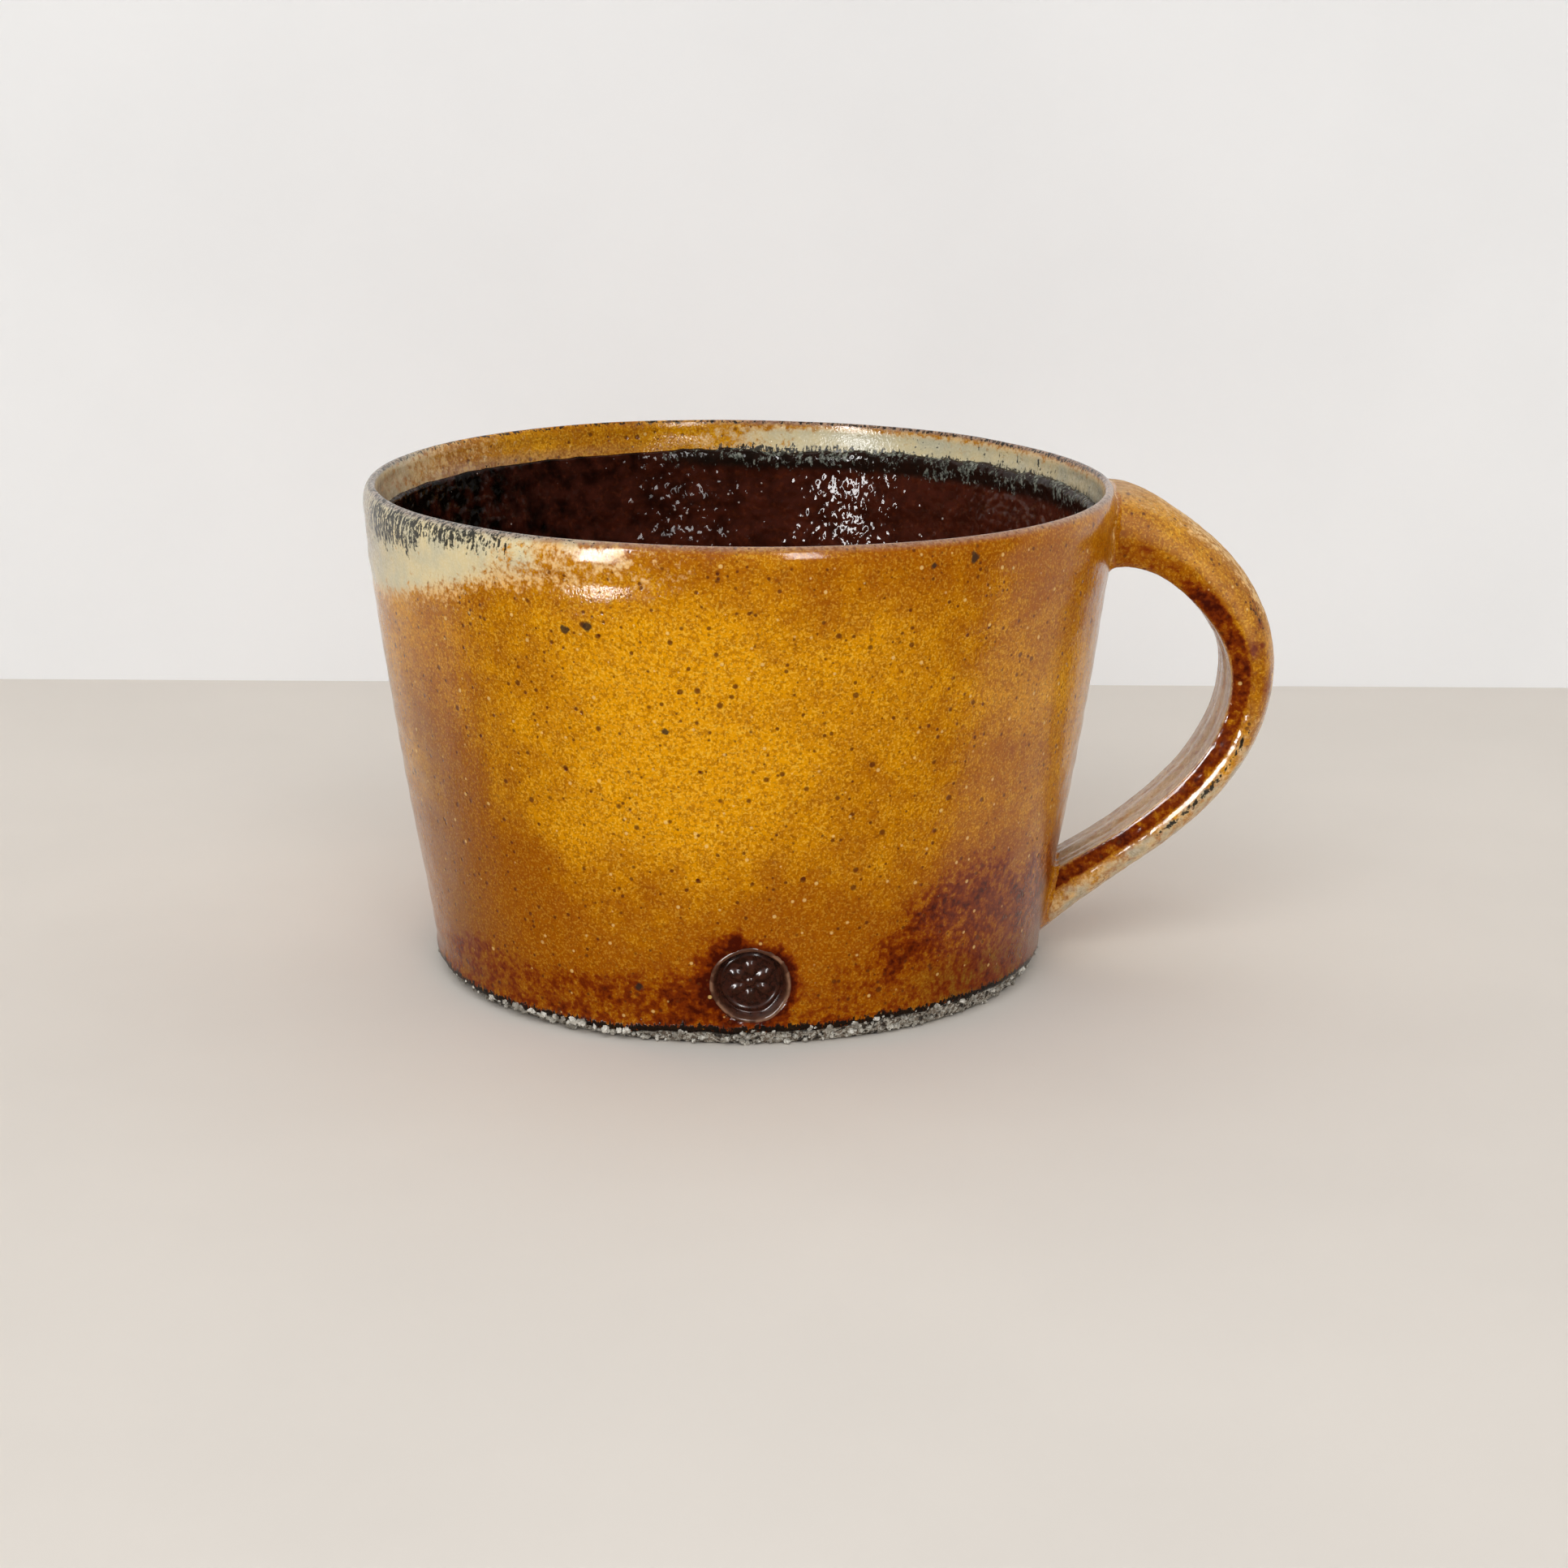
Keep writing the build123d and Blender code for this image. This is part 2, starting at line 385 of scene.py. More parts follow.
def wall_grey(at):
    """Grey-pink bloom along the lip's crest and on the sides."""
    height, bearing = at.height, at.bearing
    to_sides = 0.45 + 0.5 * rise(-bearing, 12, 40) + 0.35 * rise(bearing, 45, 75)
    front_crest = at.crest * at.near_front * to_sides
    back_crest = 0.8 * at.crest * between(at.compass, 60, 90, 160, 210)
    sides = at.inside * np.maximum(0.66 * hill(bearing, -80, 32), 0.46 * hill(bearing, 88, 34))
    above_liner = 0.4 * at.inside * rise(height, LINER_TOP + 2.2, LINER_TOP + 0.8) * hill(bearing, -125, 30)
    left_edge = 0.75 * at.out * hill(bearing, -80, 12) * rise(height, 58, 66)
    return np.maximum.reduce([front_crest, back_crest, sides, above_liner, left_edge])


def wall_soot(at):
    """Black crystals: drips at the upper left, the foot's edge and the liner's border."""
    height, bearing = at.height, at.bearing
    hang = 69.9 - 2.6 * rise(-bearing, 46, 62) + 0.8 * at.drift + 1.0 * ripple(at.turn, 70, 43)
    hang = hang + 1.3 * ripple(at.turn, 29, 44) + 0.8 * ripple(at.turn, 160, 45)
    drips = rise(height, hang - 2.8, hang + 1.4) * (0.75 + 0.25 * rise(height, at.top - 0.2, at.top - 1.0))
    drips = drips * between(-bearing, 24, 42, 68, 84) * at.out
    on_crest = 0.8 * at.crest * (0.35 + 0.65 * rise(-bearing, 12, 36)) * at.near_front * at.out
    drips = np.maximum(drips, on_crest)
    foot = 1.15 * rise(height - glaze_edge(at.turn), 2.3, 0.5) * at.out
    crystals = at.inside * rise(height, LINER_TOP + 2.4, LINER_TOP + 0.4)
    crystals = crystals * (0.25 + 0.75 * between(at.compass, 60, 100, 176, 196))
    back_edge = 0.6 * rise(height, at.top - 0.9, at.top - 0.2) * rise(np.abs(bearing), 70, 100)
    back_edge = back_edge + 0.3 * at.inside * between(at.compass, 80, 100, 140, 165)
    return np.clip(np.maximum.reduce([0.74 * drips, foot, 0.8 * crystals, back_edge]), 0, 1)


def wall_masks(turn, height, inside):
    at = wall_places(turn, height, inside)
    return {"shade": wall_shade(at), "scorch": wall_scorch(at), "olive": wall_olive(at), "ash": wall_ash(at),
            "grey": wall_grey(at), "soot": wall_soot(at), "calm": rise(height, 66, 69) * at.out}


# ---- the outer coat
def coat_outside(turn):
    """From the beaded lower edge to the lip's crown, with the seal's well."""
    edge = glaze_edge(turn)
    start = lip_height(turn) - SHOULDER
    steps = np.concatenate([[0, 0.0015, 0.004, 0.008, 0.013], np.linspace(0.02, 1, 86)])[:, None]
    height = edge + (start - edge) * steps
    depth = height - edge
    pushed_up = 0.1 * hill(np.hypot(*seal_offsets(turn, height)), 6.6, 1.2)
    radius = outer_radius(turn, height) - seal_well(turn, height, 1.9, 5.5, 4.9) + pushed_up
    bead = 0.24 * hill(depth, 1.0, 0.9)
    rounded = np.sqrt(1 - (1 - np.clip(depth / 0.7, 0, 1)) ** 2)
    clay = clay_radius(height)
    radius = clay + (radius + bead - clay) * rounded - 0.06 * (1 - rounded)
    climb = start + SHOULDER * np.sin(column(0, math.pi / 2, 13)[1:])
    return np.concatenate([polar(radius, turn, height), on_outside(turn, climb)])


def lip_inside(turn):
    """Radius and height over the lip's rounded inside."""
    top = lip_height(turn)
    drop = column(0, math.pi / 2, 9)[1:]
    wavy = 0.12 * ripple(turn, 60, 8)
    radius = inner_radius(top) + LIP_INSIDE - (LIP_INSIDE + wavy) * np.sin(drop)
    return radius, top - LIP_DROP * (1 - np.cos(drop))


def inner_band(turn, lip_radius):
    """Radius and height of the band from the lip down behind the liner's edge."""
    start = lip_height(turn) - LIP_DROP
    height = start + (INNER_BAND_END - start) * column(0, 1, 9)[1:]
    small = 0.06 * lumps(turn, height / HEIGHT, 80, 60, 9)
    return inner_radius(height) + (lip_radius - inner_radius(start)) + small, height


def coat_back(turn):
    """The coat's hidden back, from the lip down to the foot."""
    top = lip_height(turn)
    edge = glaze_edge(turn)
    start = top - SHOULDER
    rows = [polar(inner_radius(top) + LIP_INSIDE, turn, top - 1.1), on_outside(turn, start, COAT_BACK)]
    for share in np.linspace(0.9, 0.1, 9):
        height = edge + (start - edge) * share
        rows.append(on_outside(turn, height, COAT_BACK + seal_well(turn, height, 2.3, 7.4, 6.0)))
    rows.append(polar(clay_radius(edge) - COAT_BACK, turn, edge + 0.15))
    return np.concatenate(rows)


def make_wall():
    """Glaze over the outside, the lip and a band inside it, as one closed coat."""
    turn = full_turn(WALL_AROUND)
    outside = coat_outside(turn)
    lip_r, lip_z = lip_inside(turn)
    band_r, band_z = inner_band(turn, lip_r[-1:])
    behind = [polar(r[-1:] + COAT_BACK, turn, z[-1:]) for r, z in ((band_r, band_z), (lip_r, lip_z))]
    lip = polar(lip_r, turn, lip_z)
    grid = np.concatenate([outside, lip, polar(band_r, turn, band_z)] + behind + [coat_back(turn)])
    inside = np.ones((len(grid), 1))
    inside[:len(outside)] = 0
    inside[len(outside):len(outside) + len(lip), 0] = np.linspace(0, 1, len(lip))
    return skin("outer_glaze_coat", grid, wall_masks(turn, grid[..., 2], inside))


# ---- the clay under the glaze
def clay_underside(turn):
    """The arcs of the cutting wire, and the small rounding at the base's edge."""
    flat = BASE_RADIUS - 0.8
    reach = np.concatenate([[0.4], np.linspace(1.5, flat, 46)])[:, None]
    from_wire = np.hypot(reach * np.sin(turn) + 30, -reach * np.cos(turn) - 62)
    arcs = np.sin((from_wire + 0.5 * lumps(turn, reach / 50, 14, 6, 51)) * math.tau / WIRE_PITCH)
    inward = rise(reach, BASE_RADIUS - 1.5, BASE_RADIUS - 6)
    cut = (0.09 + 0.07 * arcs + 0.05 * lumps(turn, reach / 50, 60, 24, 52)) * inward
    sweep = 1.5 * column(0, 1, 7)[1:]
    edge = polar(flat + 0.62 * np.sin(sweep), turn, 0.42 * (1 - np.cos(sweep)))
    return np.concatenate([polar(reach, turn, np.maximum(cut, 0)), edge])


def clay_outside(turn):
    """The gritty bevelled foot and the wall, with the seal's recess."""
    z = column(0.55, 5.0, 20)
    grit = 0.16 * lumps(turn, z / 6, 150, 5, 53) + 0.1 * lumps(turn, z / 6, 330, 12, 54)
    rows = [(clay_radius(z) + grit * rise(z, 4.6, 3.2), z)]
    z = column(6.5, HEIGHT - SHOULDER, 24)
    rows.append((line_radius(z) + wall_relief(turn, z) - COAT, z))
    rows = [polar(radius - 0.05 - seal_well(turn, z, 2.2, 6.4, 5.4), turn, z) for radius, z in rows]
    return np.concatenate(rows)


def clay_inside(turn):
    """The hidden inside of the lip, the wall, the rounded corner and the floor."""
    top = lip_height(turn)
    below_lip = inner_radius(top - 2.0) + COAT
    rows = [polar(below_lip + step, turn, top - drop) for step, drop in ((1.6, 1.2), (1.1, 1.2), (0.75, 1.9))]
    z = column(HEIGHT - 4, FLOOR + CORNER + 1, 16)
    rows.append(polar(inner_radius(z) + COAT + 0.1 + 0.65 * rise(z, 60, 65), turn, z))
    corner_r = inner_radius(FLOOR + CORNER) + COAT
    sweep = column(0, math.pi / 2, 10)
    rows.append(polar(corner_r - CORNER * (1 - np.cos(sweep)), turn, FLOOR + CORNER * (1 - np.sin(sweep))))
    rows.append(polar(column(corner_r - CORNER - 2, 0.5, 10), turn, FLOOR))
    return np.concatenate(rows)


def make_clay():
    """The thrown body, bare at its foot and under the base."""
    turn = full_turn(CLAY_AROUND)
    rows = [part(turn) for part in (clay_underside, clay_outside, clay_inside)]
    return skin("clay_body", np.concatenate(rows), capped=True)


def icosphere():
    ball = bmesh.new()
    bmesh.ops.create_icosphere(ball, subdivisions=2, radius=1.0)
    points = np.array([v.co[:] for v in ball.verts])
    faces = [tuple(v.index for v in face.verts) for face in ball.faces]
    ball.free()
    return points, faces


def make_crumbs():
    """Kiln grit stuck to the foot, in small broken lumps."""
    rng = np.random.default_rng(77)
    ball_points, ball_faces = icosphere()
    points, faces = [], []
    for _ in range(CRUMBS):
        bearing = rng.uniform(-180, 180)
        thick = 0.75 + 0.8 * hill(bearing, -34, 30) + 0.45 * hill(bearing, 25, 34)
        size = rng.uniform(0.13, 0.4) * thick
        turn = np.array(math.radians(bearing))
        edge = float(glaze_edge(turn))
        height = rng.uniform(size * 0.9 + 0.06, edge + 0.8)
        on_glaze = height > edge + 0.3
        surface = outer_radius(turn, np.array(height)) if on_glaze else clay_radius(height)
        centre = polar(float(surface) + size * 0.3, turn, height)
        spread = rng.uniform(0.65, 1.25, 3)
        rough = 1 + rng.uniform(-0.38, 0.3, (len(ball_points), 1))
        base = len(points)
        points += (centre + ball_points * rough * spread * size).tolist()
        faces += [tuple(base + corner for corner in face) for face in ball_faces]
    points = np.array(points)
    points[:, 2] = np.maximum(points[:, 2], 0.02)
    mesh = bpy.data.meshes.new("foot_grit")
    mesh.from_pydata((points * MM).tolist(), [], faces)
    return add_object("foot_grit", mesh)


# ---- the liner
LINER_FLOOR = FLOOR + LINER_COAT
LINER_FACE = LINER_COAT - COAT + 0.1
LINER_CORNER = inner_radius(LINER_FLOOR + CORNER) - LINER_FACE
LINER_BACK = 0.5  # how deep the liner's hidden back lies


def liner_edge(turn):
    """Height of the liner's ragged edge, and its thickness from 0 to 1."""
    compass = np.degrees(turn) % 360
    thick = between(compass, 60, 110, 175, 205)
    ragged = (0.3 * ripple(turn, 95, 62) + 0.22 * ripple(turn, 240, 63)) * (0.3 + 0.7 * thick)
    return LINER_TOP + 0.1 + 0.45 * ripple(turn, 17, 61) + ragged + 0.5 * thick, thick


def liner_bowl(turn):
    """The floor with its shallow coil, and the rounded corner."""
    reach = np.concatenate([[0.35], np.linspace(1.4, LINER_CORNER - CORNER, 40)])[:, None]
    coil = np.sin(reach * math.tau / COIL_PITCH - turn)
    hollow = 0.5 * hill(reach, 0, 9) - 0.25 * coil * rise(reach, 3, 8)
    floor_z = LINER_FLOOR - hollow * 0.6 + 0.1 * lumps(turn, reach / 50, 46, 30, 64)
    sweep = column(0, math.pi / 2, 14)[1:-1]
    rough = 0.09 * lumps(turn, sweep / 2, 90, 6, 65)
    bend_r = LINER_CORNER - CORNER + CORNER * np.sin(sweep)
    bend_z = LINER_FLOOR + CORNER * (1 - np.cos(sweep))
    return np.concatenate([polar(reach, turn, floor_z), polar(bend_r + rough, turn, bend_z + rough)])


def liner_wall(turn, edge, thick):
    """Thrown rings and small lumps, up to the bead at the edge."""
    share = np.concatenate([np.linspace(0, 0.965, 74), [0.978, 0.988, 0.995, 1.0]])[:, None]
    height = LINER_FLOOR + CORNER + (edge - LINER_FLOOR - CORNER) * share
    depth = edge - height
    part = height / HEIGHT
    rings = 0.1 * np.sin(height * math.tau / LINER_RING_PITCH + turn) * (0.7 + 0.3 * np.sin(height * 0.17))
    small = 0.035 * lumps(turn, part, 110, 30, 66) + 0.03 * lumps(turn, part, 230, 66, 67)
    bead = (0.02 + 0.46 * thick) * hill(depth, 1.1, 1.2)
    cover = LINER_FACE + bead + rings + small
    sharp = 0.35 + 0.45 * thick
    cover = cover * np.sqrt(1 - (1 - np.clip(depth / sharp, 0, 1)) ** 2) - 0.05 * (depth < 0.02)
    return polar(inner_radius(height) - cover, turn, height)


def liner_back(turn, edge):
    """The hidden side, from the edge down and in under the floor."""
    rows = [polar(inner_radius(edge - 0.1) + LINER_BACK, turn, edge - 0.1)]
    for share in (0.75, 0.5, 0.25, 0.0):
        height = LINER_FLOOR + CORNER + (edge - LINER_FLOOR - CORNER) * share
        rows.append(polar(inner_radius(height) + LINER_BACK, turn, height))
    grown = CORNER + LINER_BACK + LINER_FACE
    for sweep in (1.2, 0.8, 0.4, 0.0):
        radius = LINER_CORNER - CORNER + grown * math.sin(sweep)
        rows.append(polar(radius, turn, LINER_FLOOR + CORNER - grown * math.cos(sweep)))
    for reach in (24.0, 12.0, 0.6):
        rows.append(polar(reach, turn, LINER_FLOOR - LINER_BACK - LINER_FACE))
    return np.concatenate(rows)


def make_liner():
    """The dark glaze inside, with masks for its border and for painted light and shade: darker on its left
    inside, browner towards its right.
    """
    turn = full_turn(LINER_AROUND)
    edge, thick = liner_edge(turn)
    grid = np.concatenate([liner_bowl(turn), liner_wall(turn, edge, thick), liner_back(turn, edge)])
    border = rise(LINER_TOP + 0.4 - grid[..., 2], 4.2, 0.5) * (0.06 + 0.94 * thick)
    from_axis = rise(np.hypot(grid[..., 0], grid[..., 1]), 0, 34)
    cloud = 0.2 * lumps(turn, grid[..., 2] / HEIGHT, 8, 5, 68)
    # Painted light and shade: the liner is painted darker on its left inside and browner towards its right
    # side.
    painted_light_side = 0.5 - 0.5 * np.cos(turn + 1.3) * from_axis + cloud
    return skin("liner_pool", grid, {"border": border, "painted_light_side": painted_light_side}, capped=True)


# ---- the seal
def seal_relief(angle, reach, span):
    """Height over the wall: a lip round a dish that holds a plain ring and a rosette."""
    dish = -SEAL_DEPTH * rise(span, 5.3, 4.5) + (0.16 + 0.08 * np.sin(3 * angle)) * hill(span, 5.45, 0.28)
    dish = dish + 0.14 * (1 - np.clip(span / 4.6, 0, 1) ** 2) - 0.35 * rise(span, 5.65, 6.0)
    ring = 0.26 * hill(span, 4.1, 0.3)
    petals = 0
    for number in range(PETALS):
        off = angle - number * math.tau / PETALS - math.pi / 6
        along = reach * np.cos(off) - PETAL_AT
        aside = reach * np.sin(off)
        petals = np.maximum(petals, 0.42 * rise(np.hypot(along / 1.35, aside / 0.92), 1.15, 0.35))
    button = 0.3 * rise(reach, 0.85, 0.35)
    return dish + ring + petals + button


def seal_points(angle, reach, depth):
    """Points on the seal's disc, a depth under the wall's surface, and their turn."""
    turn = SEAL_TURN + reach * np.cos(angle) / line_radius(SEAL_Z)
    height = SEAL_Z + reach * np.sin(angle) * math.cos(LEAN)
    return on_outside(turn, height, depth), turn


def make_seal():
    """A pressed disc under pooled glaze."""
    angle = full_turn(SEAL_AROUND)
    reach = np.concatenate([[0.12], np.linspace(0.35, 6.05, 62)])[:, None]
    wobble = 0.12 * np.sin(2 * angle + 0.5) + 0.07 * np.sin(3 * angle + 2) + 0.04 * np.sin(7 * angle)
    span = reach + wobble * rise(reach, 3.5, 5.5)
    relief = seal_relief(angle, reach, span)
    surface, turn = seal_points(angle, reach, 0)
    normal = polar(math.cos(LEAN), turn, -math.sin(LEAN))
    front = surface + normal * relief[..., None]
    rear = [seal_points(angle, radius, 1.75)[0] for radius in (5.6, 3.0, 0.3)]
    grid = np.concatenate([front] + rear)
    masks = {"crest": np.clip((relief + 1.2) / 1.2, 0, 1), "rim": hill(span, 5.5, 0.28)}
    masks = {key: np.pad(mask, ((0, len(rear)), (0, 0))) for key, mask in masks.items()}
    return skin("seal_pool", grid, masks, capped=True)


# ---- the handle
def bow(t, start, pull, end):
    """A curve from start to end, bent towards pull."""
    return (1 - t) ** 2 * start + 2 * t * (1 - t) * pull + t * t * end


def strap_outline(count):
    """The strap's section from -1 to 1: round outside, crisp edges and a slight rib inside."""
    sweep = np.linspace(0, math.pi / 2, 60)
    power = 2 / 2.25
    outer = [np.cos(sweep) ** power, np.sin(sweep) ** power]
    down = np.linspace(0, 1, 40)[1:]
    side = [-0.8 * down, 1 - 0.06 * down**1.8]
    t = np.linspace(0, 1, 14)[1:]
    corner = [bow(t, -0.8, -0.985, -0.93), bow(t, 0.94, 0.91, 0.72)]
    over = np.linspace(0.72, 0, 40)[1:]
    rib = 0.06 * (over / 0.72) ** 2 - 0.05 * hill(over, 0, 0.2) + 0.035 * hill(over, 0.36, 0.12)
    inner = [rib - 0.99, over]
    half = np.concatenate([np.array(stretch) for stretch in (outer, side, corner, inner)], 1)
    whole = np.concatenate([half, (half * [[1], [-1]])[:, -2:0:-1]], 1)
    closed = np.concatenate([whole, whole[:, :1]], 1)
    along = np.concatenate([[0], np.cumsum(np.hypot(*(np.diff(closed) * [[0.5], [1.0]])))])
    where = np.arange(count) * along[-1] / count
    return np.interp(where, along, closed[0]), np.interp(where, along, closed[1])


def strap_frame(count):
    """Centre, thickness and width along the strap, and its outward normal."""
    chord = np.concatenate([[0], np.cumsum(np.hypot(*np.diff(STRAP[:, :2], axis=0).T))])
    where = np.linspace(chord[0], chord[-1], 1200)
    fine = spline(chord, STRAP, where)
    start = np.argmax(fine[:, 0] > STRAP_ROOT_X)
    end = len(fine) - np.argmax(fine[::-1, 0] > STRAP_TAIL_X)
    fine = spline(chord, STRAP, np.linspace(where[start], where[end - 1], count))
    slope = unit(np.gradient(fine[:, :2], axis=0))
    return fine, np.stack([-slope[:, 1], slope[:, 0]], -1)


def strap_rows(out, over):
    """Points along and round the strap, with its side groove and the marks of pulling."""
    fine, normal = strap_frame(STRAP_STEPS)
    share = column(0, 1, STRAP_STEPS)
    facet = 0.056 * np.clip((0.03 - out) / 0.22, 0, 1)
    groove = facet * (1 - 0.3 * rise(-out, 0.55, 0.85)) * (out > -0.9)
    outward = out[None] * fine[:, 2:3] / 2
    across = (over - np.sign(over) * groove * rise(share, 0.26, 0.44)) * fine[:, 3:4] / 2
    turn = full_turn(STRAP_AROUND)
    pull = 0.07 * lumps(turn, share, 22, 5, 81)
    wave = 0.1 * lumps(turn, share, 5, 16, 82) + 0.05 * lumps(turn, share, 34, 60, 83)
    fine_wave = 0.025 * lumps(turn, share, 80, 180, 84)
    size = 1 + (pull + wave + fine_wave) / np.maximum(np.hypot(outward, across), 1.5)
    outward = outward * size
    x = fine[:, 0:1] + normal[:, 0:1] * outward
    z = fine[:, 1:2] + normal[:, 1:2] * outward
    under_lip = float(lip_height(np.array(math.pi / 2))) - 0.6
    z = np.where(x < 62, np.minimum(z, under_lip), z)
    return np.stack([x, across * size, z], -1)


def strap_masks(out):
    """Colours by place on the section, from -1 inside to 1 outside, and by share of length."""
    share = column(0, 1, STRAP_STEPS)
    turn = full_turn(STRAP_AROUND)
    out = out[None] + 0 * share
    cloud = lumps(turn, share, 9, 14, 91)
    fine = lumps(turn, share, 30, 60, 92)
    inner_face = rise(-out, 0.84, 0.93)
    groove = rise(-out, 0.14, 0.3) * (1 - inner_face)
    outer_half = rise(out, -0.26, 0.12)
    far_edge = rise(out, 0.55, 0.9)
    low = rise(share, 0.42, 0.56)
    middle = hill(share, 0.37, 0.11)
    scorch = (groove * (0.18 + 0.3 * rise(share, 0.1, 0.3) + 0.14 * low)
              + 0.22 * middle * (1 - inner_face) * (1 - far_edge)
              + 0.34 * hill(out, -0.62, 0.25) * hill(share, 0.2, 0.1))
    scorch = scorch + (0.16 * cloud + 0.12 * fine) * (scorch > 0.04)
    scorch = scorch + 0.12 * inner_face * rise(share, 0.25, 0.5)
    shade = (0.66 + 0.24 * cloud + 0.14 * fine + 0.32 * groove
             - 0.3 * rise(out, -0.2, 0.3) * rise(share, 0.34, 0.14))
    # The pale inner face and, low down, the pale outer half are partly ash and partly painted reflections: of
    # the bright wall on the inner face, of the pale floor on the outer half.
    pale_inside = inner_face * rise(share, 0.2, 0.45)
    grey = (0.58 * pale_inside * (0.85 + 0.15 * cloud) + 0.45 * far_edge * hill(share, 0.0, 0.07)
            + outer_half * low * (0.3 + 0.26 * fine + 0.12 * cloud))
    ash = (outer_half * low * (0.62 + 0.14 * cloud + 0.2 * fine) + 0.62 * pale_inside
           + far_edge * (0.4 + 0.15 * cloud) * (1 - low))
    freckle = (0.9 * hill(out, 0.16, 0.17) * between(share, 0.46, 0.53, 0.7, 0.8) * (0.85 + 0.4 * fine)
               + 0.55 * hill(out, 0.62, 0.16) * hill(share, 0.3, 0.05)
               + 0.3 * groove * hill(share, 0.18, 0.08))
    return {"shade": shade, "scorch": np.clip(scorch, 0, 0.95), "ash": np.clip(ash, 0, 1),
            "grey": np.clip(grey, 0, 1), "soot": np.clip(freckle, 0, 1), "olive": 0.1, "calm": 0.9,
            "dull": outer_half * rise(share, 0.42, 0.3)}


def meeting_line(rows):
    """Where the lines along the strap leave the wall, and their direction there."""
    turn = np.arctan2(rows[..., 0], -rows[..., 1])
    outside = np.hypot(rows[..., 0], rows[..., 1]) - outer_radius(turn, rows[..., 2])
    at = np.clip(np.argmax(outside > 0, axis=0), 1, len(rows) - 12)
    line = np.arange(rows.shape[1])
    low = outside[at - 1, line]
    part = np.clip(-low / (outside[at, line] - low), 0, 1)[:, None]
    meet = rows[at - 1, line] * (1 - part) + rows[at, line] * part
    return meet, unit(rows[at + 8, line] - rows[at, line])


def make_joint(rows, width, seed):
    """A fillet of slip where the strap leaves the wall: its rings, share across and turn."""
    meet, along = meeting_line(rows)
    centre = meet.mean(0)
    bearing = np.arctan2(meet[:, 0], -meet[:, 1])
    wall_normal = unit(polar(1, bearing, -FLARE))
    away = meet - centre
    away = unit(away - wall_normal * np.sum(away * wall_normal, 1)[:, None])
    turn = full_turn(len(meet))
    size = width * (1 + 0.18 * ripple(turn, 9, seed) + 0.06 * ripple(turn, 40, seed + 1)).T
    strap_normal = unit(np.cross(along, np.roll(meet, -1, 0) - np.roll(meet, 1, 0)))
    strap_normal = strap_normal * np.sign(np.sum(strap_normal * away, 1))[:, None]
    strap_end = meet + along * size - strap_normal * 0.05
    wall_end = meet + away * size
    wall_end[:, 2] = np.minimum(wall_end[:, 2], lip_height(bearing) - 0.5)
    side = np.arctan2(wall_end[:, 0], -wall_end[:, 1])
    wall_end = on_outside(side, wall_end[:, 2], 0.05)
    shape = np.linspace(0, 1, 13)
    hollow = meet * 0.9 + 0.05 * (wall_end + strap_end)
    rings = [bow(t, wall_end, hollow, strap_end) for t in shape]
    rings.append(strap_end + (centre - meet) * 0.1 + along * -0.4)
    rings.append(centre + (meet - centre) * 0.86 - wall_normal * 0.9)
    rings.append(wall_end - wall_normal * 0.8)
    return np.array(rings), np.concatenate([shape, [1, 0.5, 0]])[:, None], turn


# ---- node trees
class Nodes:
    """The node tree of a material or a world, built from short calls."""

    def __init__(self, owner):
        owner.use_nodes = True
        self.tree = owner.node_tree
        self.tree.nodes.clear()

    def join(self, value, socket):
        if isinstance(value, bpy.types.NodeSocket):
            self.tree.links.new(value, socket)
        elif socket.type == "RGBA":
            socket.default_value = (*value, 1)
        else:
            socket.default_value = value

    def node(self, kind, **inputs):
        made = self.tree.nodes.new("ShaderNode" + kind)
        for name, value in inputs.items():
            self.join(value, made.inputs[name])
        return made

    def fill(self, made, *values):
        """Joins values to a node's first inputs, in order."""
        for value, socket in zip(values, made.inputs):
            self.join(value, socket)
        return made

    def blend(self, factor, low, high):
        return self.fill(self.node("MixShader"), factor, low, high).outputs[0]


